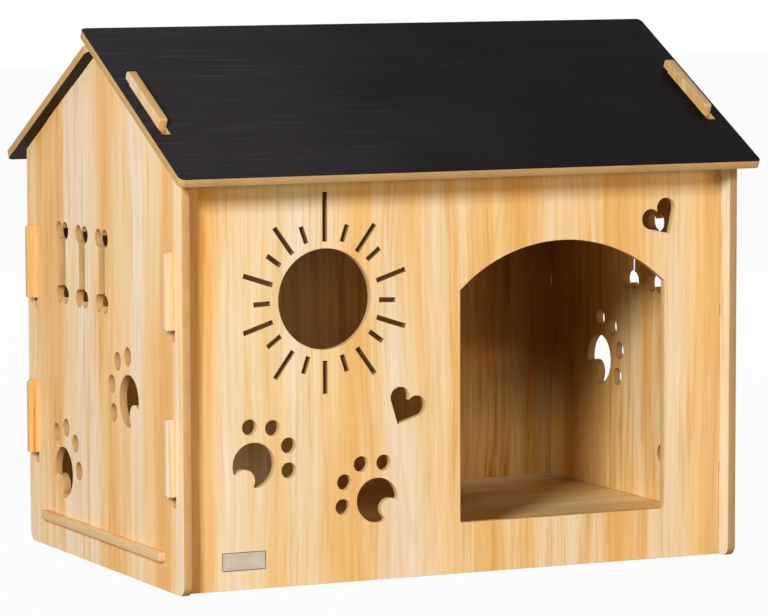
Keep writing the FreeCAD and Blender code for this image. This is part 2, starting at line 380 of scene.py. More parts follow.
# The roof's laminate: u runs along the ridge, v down the slope.
ROOF_SWAY = Layer(4, 12, 2.0, strength=0.012)
ROOF_LINE = Layer(7, 380, 5.0, 2.0, 0.65, edge=(0.5, 0.7))
ROOF_BAND = Layer(2.0, 60, 9.0, 2.0, strength=0.4)
ROOF_CLOUD = Layer(7, 9, 12.0, 1.0, strength=0.6)
ROOF_SHEEN_PATCHES = Layer(9, 30, 15.0, strength=0.8)

# The plate: u runs along it, v up it.
BRUSH = Layer(60, 2600, 1.0, 2.0, strength=0.3, edge=(0.35, 0.7))
TARNISH = Layer(40, 60, 4.0, strength=0.25, edge=(0.45, 0.7))


# ------------------------------------------------------------------- finishes

# How strongly red, green and blue follow a change of brightness.
LINE_HUE = (0.5, 1.0, 1.8)
# The next two serve the painted shade inside the house.
CORNER_SHADE_HUE = (0.9, 0.95, 1.08)
FAR_SHADE_HUE = (1.0, 0.8, 0.3)
# Serves the darker cut edges: painted shade on cut-outs and below the eaves, and the darker rays.
CUT_DARKENING_HUE = (0.92, 1.0, 1.1)
ROUT_HUE = (0.15, 0.6, 1.5)

PINE_TONES = (
    (0.0, srgb(236, 180, 102)),
    (0.25, srgb(240, 191, 120)),
    (0.5, srgb(244, 205, 148)),
    (0.75, srgb(245, 214, 170)),
    (1.0, srgb(244, 221, 190)),
)
RING_TONE = srgb(222, 174, 114)
BLACK_TONES = (srgb(11, 6, 8), srgb(43, 38, 41), srgb(74, 70, 71))
# The roof's underside: black laminate browned by painted warm bounce light from the wood.
BOUNCE_BROWN_TONES = (srgb(44, 32, 24), srgb(76, 58, 42), srgb(96, 76, 56))
BRUSHED_TONE = srgb(168, 158, 146)
TARNISHED_TONE = srgb(222, 214, 202)


class Axis(Enum):
    """An axis of the object coordinates."""

    X = 0
    Y = 1
    Z = 2


@dataclass(frozen=True)
class Stripe:
    """An upright band whose tone is moved towards cream or honey.

    Attributes:
        centre: its middle, in metres from the board's middle.
        half_width: half its width, in metres.
        change: the change of tone, above 0 for cream.
        fade: where it starts and where it is full, in half widths.
    """

    centre: float
    half_width: float
    change: float
    fade: Span = (1.25, 0.65)

    def tone(self, across: Socket) -> Socket:
        """Gives the change of tone at a place across the board, 0 outside the band."""
        outer, inner = (self.half_width * part for part in self.fade)
        return (across - self.centre).size().step(outer, inner) * self.change


@dataclass(frozen=True)
class InnerFace:
    """What sets a board's inner face apart from its outer one.

    Attributes:
        painted_light_tint: painted light and shade, as the colour that the print is multiplied by.
        seed: the place in the pattern.
        low_painted_light_tint: further painted light, as a colour that it is multiplied by near
            the floor.
        stripes: bands of another tone.
    """

    painted_light_tint: Colour
    seed: float
    low_painted_light_tint: Colour = WHITE
    stripes: tuple[Stripe, ...] = ()


@dataclass(frozen=True)
class Room:
    """The inside of the house, where painted light and shade colour the print and darken it at the
    back.

    Every pair holds the place where a change starts and the one where it is full, in metres
    from the house's middle or from the ground.

    Attributes:
        ends: the change just behind the gables' inner faces.
        sides: the change within the walls' thickness.
        low: the painted light near the floor.
        corner_x: the painted shade of the corner at the right gable, with corner_y at the back
            wall.
        corner_z: the rise of that painted shade above the floor.
        corner_shade: its painted shade at the floor, to which corner_rise is added above.
        far_x: the painted shade away from the doorway, with far_y at the back wall.
    """

    ends: Span = (0.317, 0.3165)
    sides: Span = (0.203, 0.201)
    low: Span = (0.24, 0.06)
    corner_x: Span = (0.17, 0.31)
    corner_y: Span = (-0.04, 0.16)
    corner_z: Span = (0.06, 0.2)
    corner_shade: float = 0.28
    corner_rise: float = 0.32
    far_x: Span = (0.2, -0.05)
    far_y: Span = (0.0, 0.16)

    def dress(self, colour: Socket, painted_light_tint: Colour, low_painted_light_tint: Colour, far_shade: float) -> Socket:
        """Paints light and shade onto the print inside the house: tinted all over, and darker at
        the back.

        Args:
            colour: the print's colour.
            painted_light_tint: the painted light colour that it is multiplied by.
            low_painted_light_tint: the same for the part near the floor.
            far_shade: the painted shade away from the doorway.

        Returns:
            The colour, unchanged outside the house.
        """
        graph = colour.graph
        x, y, z = graph.place()
        room = x.size().step(*self.ends) * y.size().step(*self.sides)
        # Painted light and shade: the inner faces are multiplied by their colours, and again near
        # the floor.
        colour = graph.mix(room, colour, painted_light_tint, "MULTIPLY")
        colour = graph.mix(z.step(*self.low) * room, colour, low_painted_light_tint, "MULTIPLY")
        # Painted shade: darker in the back corner at the right gable, more so higher up, and
        # darker away from the doorway.
        corner = x.step(*self.corner_x) * y.step(*self.corner_y) * room
        painted_corner_shade = corner * (z.step(*self.corner_z) * -self.corner_rise - self.corner_shade)
        colour = graph.lighten(colour, painted_corner_shade, CORNER_SHADE_HUE)
        far = x.step(*self.far_x) * y.step(*self.far_y) * room
        return graph.lighten(colour, far * -far_shade, FAR_SHADE_HUE)


@dataclass(frozen=True)
class WoodPrint:
    """Printed pine laminate: narrow staves that run with the grain.

    Attributes:
        across: the axis across the grain, and along is the axis along it.
        seed: the board's place in the pattern.
        stave_width: mean width of a stave, in metres.
        fineness: how much finer the pattern is across the grain.
        lines: strength of the threads and streaks.
        warmth: shift of the tone towards honey.
        ends: changes of tone past the low and the high end.
        ends_at: where those ends start, in metres from the middle.
        end_fade: the length over which they set in.
        indoors: whether the face lies inside the house, where it takes painted light and shade.
        painted_light_tint: painted light that multiplies the print inside, low_painted_light_tint
            near the floor.
        far_shade: the painted shade away from the doorway.
        grain_sheen: change of the roughness with the grain, broad_sheen with the broad zones.
        relief: height of the grain, in metres.
        relief_mix: shares of the grain and the streaks in the relief.
    """

    name: str
    across: Axis
    along: Axis
    seed: float
    stave_width: float = 0.014
    fineness: float = 1.0
    waviness: float = 1.0
    lines: float = 1.0
    rings: float = 0.42
    warmth: float = 0.0
    contrast: float = 1.0
    ends: tuple[float, float] = (0.0, 0.0)
    ends_at: float = 0.3205
    end_fade: float = 0.012
    stripes: tuple[Stripe, ...] = ()
    indoors: bool = False
    painted_light_tint: Colour = WHITE
    low_painted_light_tint: Colour = WHITE
    far_shade: float = 0.42
    roughness: float = 0.42
    grain_sheen: float = 0.16
    broad_sheen: float = 0.1
    relief: float = 0.00006
    relief_mix: tuple[float, float] = (0.6, 0.4)
    specular: float = 0.2
    inner_lines: ClassVar[float] = 1.8

    def inside(self, face: InnerFace) -> "WoodPrint":
        """Gives the print for a board's inner face, with its painted light and shade.

        Args:
            face: what sets that face apart.

        Returns:
            The finish of the inner face.
        """
        return replace(
            self,
            name=f"{self.name}_inside",
            seed=face.seed,
            lines=self.lines * self.inner_lines,
            indoors=True,
            painted_light_tint=face.painted_light_tint,
            low_painted_light_tint=face.low_painted_light_tint,
            stripes=face.stripes,
        )

    def build(self) -> bpy.types.Material:
        """Makes the laminate's material.

        Returns:
            The material.
        """
        material, graph = new_material(self.name)
        place = graph.place()
        across = place[self.across.value]
        board = Pattern(graph, across * self.fineness, place[self.along.value], self.seed)
        sway = board.drift(SWAY) + board.drift(BEND)
        run = board.u + (sway + board.drift(RIPPLE)) * self.waviness + self.seed
        staves = replace(board, u=run)
        broad = staves.noise(BROAD)
        tone = self.stave_tone(staves, broad)
        low_end, high_end = self.end_tones(across)
        tone = (tone - HALF) * self.contrast + (HALF - self.warmth) + low_end + high_end
        for stripe in self.stripes:
            tone = tone + stripe.tone(across + sway * self.waviness)
        colour = graph.ramp(tone, PINE_TONES)
        colour = graph.mix(self.ring_marks(staves), colour, RING_TONE)

        grain = staves.noise(GRAIN)
        streak = staves.noise(STREAK)
        colour = graph.lighten(colour, self.line_marks(staves, grain, streak), LINE_HUE)
        # Inner faces take painted light and shade.
        if self.indoors:
            colour = Room().dress(colour, self.painted_light_tint, self.low_painted_light_tint, self.far_shade)
        sheen = vary(self.roughness, (grain, self.grain_sheen), (broad, self.broad_sheen))
        height = grain * self.relief_mix[0] + streak * self.relief_mix[1]
        constants = {"Specular IOR Level": self.specular}
        graph.surface(colour, sheen, height, self.relief, constants)
        return material

    def stave_tone(self, staves: Pattern, broad: Socket) -> Socket:
        """Gives each stave its tone, with broader and narrower zones in it.

        Args:
            staves: the pattern along the grain.
            broad: the value of its broad zones.

        Returns:
            The tone, around 0.5.
        """
        graph = staves.graph
        cells = {"W": staves.u, "Scale": 1 / self.stave_width, "Smoothness": STAVE_SMOOTHNESS}
        settings = {"voronoi_dimensions": "1D", "feature": "SMOOTH_F1"}
        stave = graph.add("ShaderNodeTexVoronoi", settings, cells, "Color")
        return vary(
            HALF,
            (graph.add("ShaderNodeSeparateColor", sockets={"Color": stave}), STAVE_STRENGTH),
            (staves.noise(PLANK), PLANK.strength),
            (broad, BROAD.strength),
            (staves.noise(NARROW), NARROW.strength),
        )

    def end_tones(self, across: Socket) -> tuple[Socket, Socket]:
        """Gives the change of tone past the board's low end and the one past its high end."""
        start, full = self.ends_at, self.ends_at + self.end_fade
        return across.step(-start, -full) * self.ends[0], across.step(start, full) * self.ends[1]

    def ring_marks(self, staves: Pattern) -> Socket:
        """Gives the year rings, which show in some zones and are broken up.

        Args:
            staves: the pattern along the grain.

        Returns:
            How much of the ring's colour shows.
        """
        rings = staves.noise(RINGS) * RINGS.strength
        between = (rings.fraction() - HALF).size().step(*RINGS.edge)
        zone = staves.noise(RING_ZONE).step(*RING_ZONE.edge)
        unbroken = staves.noise(RING_BREAK).step(*RING_BREAK.edge)
        return (1 - between) * zone * unbroken * self.rings

    def line_marks(self, staves: Pattern, grain: Socket, streak: Socket) -> Socket:
        """Gives the fine dark and pale lines.

        Args:
            staves: the pattern along the grain.
            grain: the value of its grain.
            streak: the value of its streaks.

        Returns:
            The change of brightness.
        """
        calm = CALM.mark(staves.noise(CALM)) + (1 - CALM.strength)
        dark = (THREAD.mark(staves.noise(THREAD)) + STREAK.mark(streak)) * calm
        return (PALE_STREAK.mark(streak) - dark - GRAIN.mark(grain)) * self.lines


@dataclass(frozen=True)
class RayRing:
    """The ring of the front wall that the sun's rays are cut in.

    Attributes:
        x: its middle's place along the wall, and z is its height, in metres.
        inner: its inner radius, in metres.
        inner_fade: the length over which it sets in, and outer_fade that over which it ends.
        shade: the dark of the rays' cut walls.
    """

    x: float
    z: float
    inner: float
    width: float = 0.06
    inner_fade: float = 0.001
    outer_fade: float = 0.002
    shade: float = 0.7

    def within(self, x: Socket, z: Socket) -> Socket:
        """Gives 1 in the ring.

        Args:
            x: metres along the wall.
            z: metres above the ground.

        Returns:
            The mask.
        """
        span = (x - self.x) * (x - self.x) + (z - self.z) * (z - self.z)
        outer = self.inner + self.width
        past_inner = span.step(self.inner**2, (self.inner + self.inner_fade) ** 2)
        return past_inner * span.step((outer + self.outer_fade) ** 2, outer**2)


@dataclass(frozen=True)
class CutFibreboard:
    """The bare core of a board where it is sawn or routed.

    Attributes:
        cut_out_shade: painted shade on cut-outs that lie between the walls.
        painted_light_strength: painted shade on all edges below the eaves, which leaves the fins
            above them lighter as if lit from above.
        rays: the ring of rays, on the front wall alone.
        below: where the edges below the eaves start and where they are full, in metres.
        between: the same for the space between the walls.
        front: the same for the front wall, and front_ends for its part between the gables.
        rout_shade: the dark of the front wall's cut-outs.
        cloud_cells: cells per metre of the clouds, which count for cloud in the tone.
        fibre_cells: cells per metre of the fibres, which count for fibre in it.
        stops: where the dark and the pale colour stand on the tone.
        fibre_sheen: change of the roughness with the fibres.
        relief: height of the fibres, in metres.
    """

    name: str
    pale: Colour
    dark: Colour
    cut_out_shade: float = 0.0
    painted_light_strength: float = 0.0
    rays: RayRing | None = None
    below: Span = (0.45, 0.42)
    between: Span = (0.2, 0.19)
    front: Span = (-0.18, -0.19)
    front_ends: Span = (0.317, 0.316)
    rout_shade: float = 0.2
    cloud_cells: float = 45
    cloud: float = 0.5
    fibre_cells: float = 900
    fibre: float = 0.9
    stops: Span = (0.15, 0.85)
    roughness: float = 0.8
    fibre_sheen: float = 0.2
    relief: float = 0.00015
    specular: float = 0.15

    def build(self) -> bpy.types.Material:
        """Makes the core's material.

        Returns:
            The material.
        """
        material, graph = new_material(self.name)
        x, y, z = graph.place()
        fine, coarse = self.fibre_cells, self.cloud_cells
        cloud = graph.noise(x * coarse, y * coarse, z * coarse, 2.0)
        fibre = graph.noise(x * fine, y * fine, z * fine, 2.0, 0.7)
        tone = vary(HALF, (cloud, self.cloud), (fibre, self.fibre))
        dark_at, pale_at = self.stops
        colour = graph.ramp(tone, ((dark_at, self.dark), (pale_at, self.pale)))
        # Painted shade: cut-outs between the walls are darker, and so are all edges below the
        # eaves, so the fins stay lighter as if lit from above.
        below = z.step(*self.below)
        cut_out = y.size().step(*self.between) * below
        shade = cut_out * -self.cut_out_shade - below * self.painted_light_strength
        colour = graph.lighten(colour, shade, CUT_DARKENING_HUE)
        if self.rays:
            front = y.step(*self.front)
            routed = front * x.size().step(*self.front_ends)
            colour = graph.lighten(colour, routed * -self.rout_shade, ROUT_HUE)
            rays = self.rays.within(x, z) * front
            colour = graph.lighten(colour, rays * -self.rays.shade, CUT_DARKENING_HUE)
        sheen = vary(self.roughness, (fibre, self.fibre_sheen))
        constants = {"Specular IOR Level": self.specular}
        graph.surface(colour, sheen, fibre, self.relief, constants)
        return material


@dataclass(frozen=True)
class BlackLaminate:
    """Satin black laminate pressed with fine lines along the ridge, with a painted reflection that
    lightens its left end and darkens its right end.

    Attributes:
        slope: the direction down the slope.
        deep: its darkest colour, and soft is its palest.
        streak: the colour of the pressed lines.
        painted_reflection: how much the painted reflection lightens the left end and darkens the
            right end.
        left_end: where the painted highlight starts and where it is full, in metres.
        painted_light_strength: mean strength of the painted highlight there, and highlight_tone is
            what it adds to the tone.
        right_end: where the darker end of the painted reflection starts and where it is full.
        line_share: how much of the lines' colour shows, to which the painted highlight adds
            highlight_share.
        line_sheen: change of the roughness with the lines, band_sheen with the bands.
        relief: height of the lines, in metres.
    """

    name: str
    slope: Vector
    deep: Colour
    soft: Colour
    streak: Colour
    painted_reflection: float = 0.0
    tone: float = 0.4
    left_end: Span = (0.02, -0.33)
    painted_light_strength: float = 0.8
    highlight_tone: float = 0.8
    right_end: Span = (-0.1, 0.34)
    right_shade: float = 0.52
    line_share: float = 0.1
    highlight_share: float = 0.5
    roughness: float = 0.4
    line_sheen: float = 0.14
    band_sheen: float = 0.1
    relief: float = 0.0001
    specular: float = 0.02

    def build(self) -> bpy.types.Material:
        """Makes the laminate's material.

        Returns:
            The material.
        """
        material, graph = new_material(self.name)
        x, y, z = graph.place()
        down = y * self.slope.y + z * self.slope.z
        sheet = Pattern(graph, x, down)
        sheet = replace(sheet, v=down + sheet.drift(ROOF_SWAY))
        line = sheet.noise(ROOF_LINE)
        band = sheet.noise(ROOF_BAND)
        cloud = sheet.noise(ROOF_CLOUD)
        # Painted reflection: lighter patches at the left end, darker towards the right end, and
        # the pressed lines show more where it is lighter.
        patches = vary(self.painted_light_strength, (sheet.noise(ROOF_SHEEN_PATCHES), ROOF_SHEEN_PATCHES.strength))
        painted_highlight = x.step(*self.left_end) * patches * self.painted_reflection
        dark = x.step(*self.right_end) * self.right_shade * self.painted_reflection
        tone = vary(self.tone, (band, ROOF_BAND.strength), (cloud, ROOF_CLOUD.strength))
        tone = tone + painted_highlight * self.highlight_tone - dark
        colour = graph.mix(tone.step(0.0, 1.0), self.deep, self.soft)
        pressed = line.step(*ROOF_LINE.edge) * (painted_highlight * self.highlight_share + self.line_share)
        colour = graph.mix(pressed, colour, self.streak)
        sheen = vary(self.roughness, (line, self.line_sheen), (band, self.band_sheen))
        constants = {"Specular IOR Level": self.specular}
        graph.surface(colour, sheen, line, self.relief, constants)
        return material


@dataclass(frozen=True)
class BrushedPlate:
    """Thin brushed metal for the bare plate.

    Attributes:
        brush_sheen: change of the roughness with the brushing.
        relief: height of the brushing, in metres.
    """

    name: str
    colour: Colour
    roughness: float = 0.4
    metallic: float = 0.55
    brush_sheen: float = 0.2
    relief: float = 0.00002

    def build(self) -> bpy.types.Material:
        """Makes the plate's material.

        Returns:
            The material.
        """
        material, graph = new_material(self.name)
        x, _, z = graph.place()
        plate = Pattern(graph, x, z)
        brush = plate.noise(BRUSH)
        colour = graph.mix(BRUSH.mark(brush), self.colour, BRUSHED_TONE)
        colour = graph.mix(TARNISH.mark(plate.noise(TARNISH)), colour, TARNISHED_TONE)
        sheen = vary(self.roughness, (brush, self.brush_sheen))
        graph.surface(colour, sheen, brush, self.relief, {"Metallic": self.metallic})
        return material


# --------------------------------------------------------------------- meshes


def finished_mesh(shell: bmesh.types.BMesh, name: str) -> bpy.types.Mesh:
    """Turns a bmesh into a mesh and frees it.

    Args:
        shell: the bmesh.
        name: the mesh's name.

    Returns:
        The mesh.
    """
    mesh = bpy.data.meshes.new(name)
    shell.to_mesh(mesh)
    shell.free()
    return mesh


def add_object(name: str, data: bpy.types.ID) -> bpy.types.Object:
    """Puts a mesh, a lamp or a camera into the scene.

    Args:
        name: the object's name.
        data: what it shows.

    Returns:
        The object.
    """
    thing = bpy.data.objects.new(name, data)
    bpy.context.scene.collection.objects.link(thing)
    return thing


# --------------------------------------------------------------------- boards


class Finish(Enum):
    """A board's material slots."""

    FACE = 0
    EDGE = 1
    BACK = 2


@dataclass
class Board:
    """One board of the kennel, dressed from its node in the frame.

    Attributes:
        normal: the way that its outer face looks.
        back: finish of the inner face, or None for that of the outer one.
        eased: radius of the rims, in metres, made in so many rounds.
        crease: the angle from which an edge shows sharp.
        weld: the distance within which corners are merged, in metres.
        flat: the angle up to which faces count as one.
        broad_lean: the least cosine between a broad face and the normal.
        flat_lean: the same for one that shows flat, and rim_lean for one at a rim.
        cut_lean: the largest cosine between a cut side and the normal.
    """

    node: str
    body: str
    slot: str
    normal: Vector
    face: bpy.types.Material
    edge: bpy.types.Material
    back: bpy.types.Material | None = None
    eased: float = 0.0004
    rounds: int = 2
    crease: float = math.radians(40)
    weld: float = 1e-6
    flat: float = math.radians(0.5)
    broad_lean: float = 0.7
    flat_lean: float = 0.999
    rim_lean: float = 0.99
    cut_lean: float = 0.1

    def build(self) -> bpy.types.Object:
        """Makes the dressed board in place of its node.

        Returns:
            The new piece.
        """
        mesh = self.shape()
        piece = add_object(f"{self.node}_dressed", mesh)
        for material in (self.face, self.edge, self.back or self.face):
            mesh.materials.append(material)
        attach(piece, self.body)
        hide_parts(self.node)
        LOG.info("%s: %d faces", piece.name, len(mesh.polygons))
        return piece

    def shape(self) -> bpy.types.Mesh:
        """Merges a copy of the node's mesh and eases its outline.

        Returns:
            The finished mesh.
        """
        shell = bmesh.new()
        shell.from_mesh(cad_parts[self.node].data)
        bmesh.ops.remove_doubles(shell, verts=shell.verts, dist=self.weld)
        bmesh.ops.dissolve_limit(
            shell, angle_limit=self.flat, verts=shell.verts, edges=shell.edges
        )
        bmesh.ops.recalc_face_normals(shell, faces=shell.faces)
        bmesh.ops.bevel(
            shell,
            geom=[edge for edge in shell.edges if self.is_rim(edge)],
            offset=self.eased,
            offset_type="OFFSET",
            affect="EDGES",
            segments=self.rounds,
            profile=0.5,
            material=-1,
            clamp_overlap=False,
        )
        for side in shell.faces:
            lean = side.normal.dot(self.normal)
            side.smooth = abs(lean) < self.flat_lean
            side.material_index = self.finish(lean).value
        for edge in shell.edges:
            if edge.is_manifold:
                edge.smooth = edge.calc_face_angle() < self.crease
        return finished_mesh(shell, f"{self.node}_dressed")

    def finish(self, lean: float) -> Finish:
        """Chooses the finish of a face.

        Args:
            lean: the cosine of its angle to the board's normal.

        Returns:
            The finish.
        """
        if abs(lean) < self.broad_lean:
            return Finish.EDGE
        return Finish.FACE if lean > 0 else Finish.BACK

    def is_rim(self, edge: bmesh.types.BMEdge) -> bool:
        """Tells whether an edge lies between a broad face and a cut side.

        Args:
            edge: the edge.

        Returns:
            True for a rim.
        """
        if not edge.is_manifold:
            return False
        leans = sorted(abs(side.normal.dot(self.normal)) for side in edge.link_faces)
        return leans[0] < self.cut_lean and leans[1] > self.rim_lean


@dataclass
class Walls:
    """The front and back walls, whose hooks run through the gables."""

    core: bpy.types.Material
    front_print: WoodPrint = WoodPrint(
        "front_wood_print",
        Axis.X,
        Axis.Z,
        74.59,
        lines=1.15,
        ends=(0.7, 0.0),
        stripes=(Stripe(0.123, 0.04, 0.4), Stripe(-0.258, 0.02, 0.2)),
    )
    back_print: WoodPrint = WoodPrint(
        "back_wood_print", Axis.X, Axis.Z, 9.0, lines=1.15, ends=(-0.85, 0.0)
    )
    # The inner faces' colours are painted shade that darkens the inside of the house.
    front_inside: InnerFace = InnerFace((0.8, 0.68, 0.5, 1.0), 4.4)
    back_inside: InnerFace = InnerFace((0.84, 0.7, 0.48, 1.0), 9.4)

    def build(self) -> list[bpy.types.Object]:
        """Makes both walls.

        Returns:
            The two pieces.
        """
        walls = (
            ("front_panel", self.front_print, self.front_inside, -1),
            ("back_panel", self.back_print, self.back_inside, 1),
        )
        return [
            Board(
                node,
                "root",
                "wood_laminate",
                Vector((0, side, 0)),
                wood.build(),
                self.core,
                wood.inside(face).build(),
            ).build()
            for node, wood, face, side in walls
        ]


@dataclass
class Gables:
    """The two side panels, with their bones, paws, slots and roof fins."""

    left_core: bpy.types.Material
    right_core: bpy.types.Material
    left_print: WoodPrint = WoodPrint(
        "left_wood_print",
        Axis.Y,
        Axis.Z,
        42.19,
        fineness=0.65,
        waviness=0.45,
        lines=1.1,
        rings=0.2,
        warmth=0.1,
        contrast=1.15,
        ends=(0.75, 0.0),
        ends_at=0.2,
        stripes=(Stripe(-0.012, 0.028, -0.5),),
    )
    right_seed: float = 23.0
    # The inner faces' colours are painted light: faint shade on the left gable, light on the right
    # one, stronger near the floor.
    left_inside: InnerFace = InnerFace((1.0, 0.96, 0.9, 1.0), 14.4)
    right_inside: InnerFace = InnerFace(
        (1.05, 1.01, 0.94, 1.0), 23.4, (1.08, 1.17, 1.36, 1.0), (Stripe(-0.05, 0.025, -0.25),)
    )

    def build(self) -> list[bpy.types.Object]:
        """Makes both side panels.

        Returns:
            The two pieces.
        """
        right_print = replace(self.left_print, name="right_wood_print", seed=self.right_seed)
        sides = (
            ("left_side_panel", self.left_print, self.left_inside, self.left_core, -1),
            ("right_side_panel", right_print, self.right_inside, self.right_core, 1),
        )
        return [
            Board(
                node,
                "root",
                "wood_laminate",
                Vector((side, 0, 0)),
                wood.build(),
                core,
                wood.inside(face).build(),
            ).build()
            for node, wood, face, core, side in sides
        ]


@dataclass
class Floor:
    """The floor board, with a long tab at each end."""

    core: bpy.types.Material
    wood: WoodPrint = WoodPrint(
        "floor_wood_print",
        Axis.Y,
        Axis.X,
        31.0,
        fineness=0.7,
        indoors=True,
        # Painted light brightens the floor's print; far_shade is painted shade away from the
        # doorway.
        painted_light_tint=(1.06, 1.02, 0.92, 1.0),
        far_shade=0.28,
    )

    def build(self) -> bpy.types.Object:
        """Makes the floor board.

        Returns:
            The piece.
        """
        up = Vector((0, 0, 1))
        return Board(
            "floor_panel", "root", "wood_laminate", up, self.wood.build(), self.core
        ).build()


@dataclass
class Roof:
    """The two roof boards: the front one laps over the rear one at the ridge."""

    core: bpy.types.Material
    pitch: float = math.radians(27.6)

    def build(self) -> list[bpy.types.Object]:
        """Makes both roof boards.

        Returns:
            The two pieces.
        """
        pieces = []
        for node, body, side in (
            ("front_roof_panel", "front_roof", -1),
            ("rear_roof_panel", "root", 1),
        ):
            slope = Vector((0, side * math.cos(self.pitch), -math.sin(self.pitch)))
            normal = Vector((0, side * math.sin(self.pitch), math.cos(self.pitch)))
            # The top takes the painted reflection.
            top = BlackLaminate(f"{node}_black", slope, *BLACK_TONES, painted_reflection=1.0)
            # The underside's brown is painted warm bounce light on black laminate.
            under = BlackLaminate(f"{node}_under", slope, *BOUNCE_BROWN_TONES)
            board = Board(
                node, body, "black_laminate", normal, top.build(), self.core, under.build()
            )
            pieces.append(board.build())
        return pieces


# ---------------------------------------------------------------------- plate


@dataclass
class NamePlate:
    """The bare metal plate at the foot of the front wall.

    Attributes:
        left: its left edge, in metres like every size here.
        wall: the wall's outer face.
        corner: radius of its corners, made in so many corner_rounds.
        rim_width: width of its raised rim, and rim_depth is the depth of the face inside it.
        upright: the least cosine between the wall's normal and what runs along it.
    """

    left: float = -0.2739
    right: float = -0.2248
    bottom: float = 0.0206
    top: float = 0.040
    wall: float = -0.206
    thickness: float = 0.0007
    corner: float = 0.0008
    corner_rounds: int = 4
    rim_width: float = 0.0006
    rim_depth: float = 0.0002
    upright: float = 0.9
    face: BrushedPlate = BrushedPlate("plate_face", srgb(189, 176, 162))
    rim: BrushedPlate = BrushedPlate("plate_rim", srgb(104, 92, 80), 0.35, 0.4)

    def build(self) -> bpy.types.Object:
        """Makes the plate.

        Returns:
            The piece.
        """
        mesh = self.shape()
        piece = add_object("name_plate", mesh)
        mesh.materials.append(self.face.build())
        mesh.materials.append(self.rim.build())
        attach(piece, "root")
        LOG.info("%s: %d faces", piece.name, len(mesh.polygons))
        return piece

    def shape(self) -> bpy.types.Mesh:
        """Shapes the plate: a thin block with rounded corners and a raised rim.

        Returns:
            The finished mesh.
        """
        shell = bmesh.new()
        bmesh.ops.create_cube(shell, size=1.0)
        size = Vector((self.right - self.left, self.thickness, self.top - self.bottom))
        bmesh.ops.scale(shell, vec=size, verts=shell.verts)
        x, z = (self.left + self.right) / 2, (self.bottom + self.top) / 2
        middle = Vector((x, self.wall - self.thickness / 2, z))
        bmesh.ops.translate(shell, vec=middle, verts=shell.verts)
        corners = [
            edge
            for edge in shell.edges
            if abs((edge.verts[0].co - edge.verts[1].co).normalized().y) > self.upright
        ]
        bmesh.ops.bevel(
            shell,
            geom=corners,
            offset=self.corner,
            affect="EDGES",
            segments=self.corner_rounds,
            profile=0.5,
            material=-1,
        )
        front = [side for side in shell.faces if side.normal.y < -self.upright]
        for width, depth in ((self.rim_width, 0), (self.rim_depth, -self.rim_depth)):
            bmesh.ops.inset_region(
                shell, faces=front, thickness=width, depth=depth, use_even_offset=True
            )
        for side in shell.faces:
            side.material_index = 0 if side in front else 1
        return finished_mesh(shell, "name_plate")


# --------------------------------------------------------------------- studio


def direction(azimuth: float, elevation: float) -> Vector:
    """Gives the way to a lamp or the camera from its turn and rise, in radians."""
    level = math.cos(elevation)
    return Vector((math.sin(azimuth) * level, -math.cos(azimuth) * level, math.sin(elevation)))


@dataclass
class Lamp:
    """An upright soft lamp, aimed at a point.

    Attributes:
        azimuth: its turn from straight ahead, in degrees, to the right.
        elevation: its rise above level, in degrees.
        distance: its distance from the target, in metres, as its width and height are.
        power: its power, in watts.
    """

    name: str
    azimuth: float
    elevation: float
    distance: float
    width: float
    height: float
    power: float
    colour: tuple[float, float, float]
    target: Vector = field(default_factory=lambda: Vector((0, -0.05, 0.25)))

    def build(self) -> bpy.types.Object:
        """Makes the lamp.

        Returns:
            The lamp.
        """
        data = bpy.data.lights.new(self.name, "AREA")
        data.shape = "RECTANGLE"
        data.size = self.width
        data.size_y = self.height
        data.energy = self.power
        data.color = self.colour
        away = direction(math.radians(self.azimuth), math.radians(self.elevation))
        lamp = add_object(self.name, data)
        lamp.location = self.target + away * self.distance
        lamp.rotation_euler = away.to_track_quat("Z", "Y").to_euler()
        return lamp


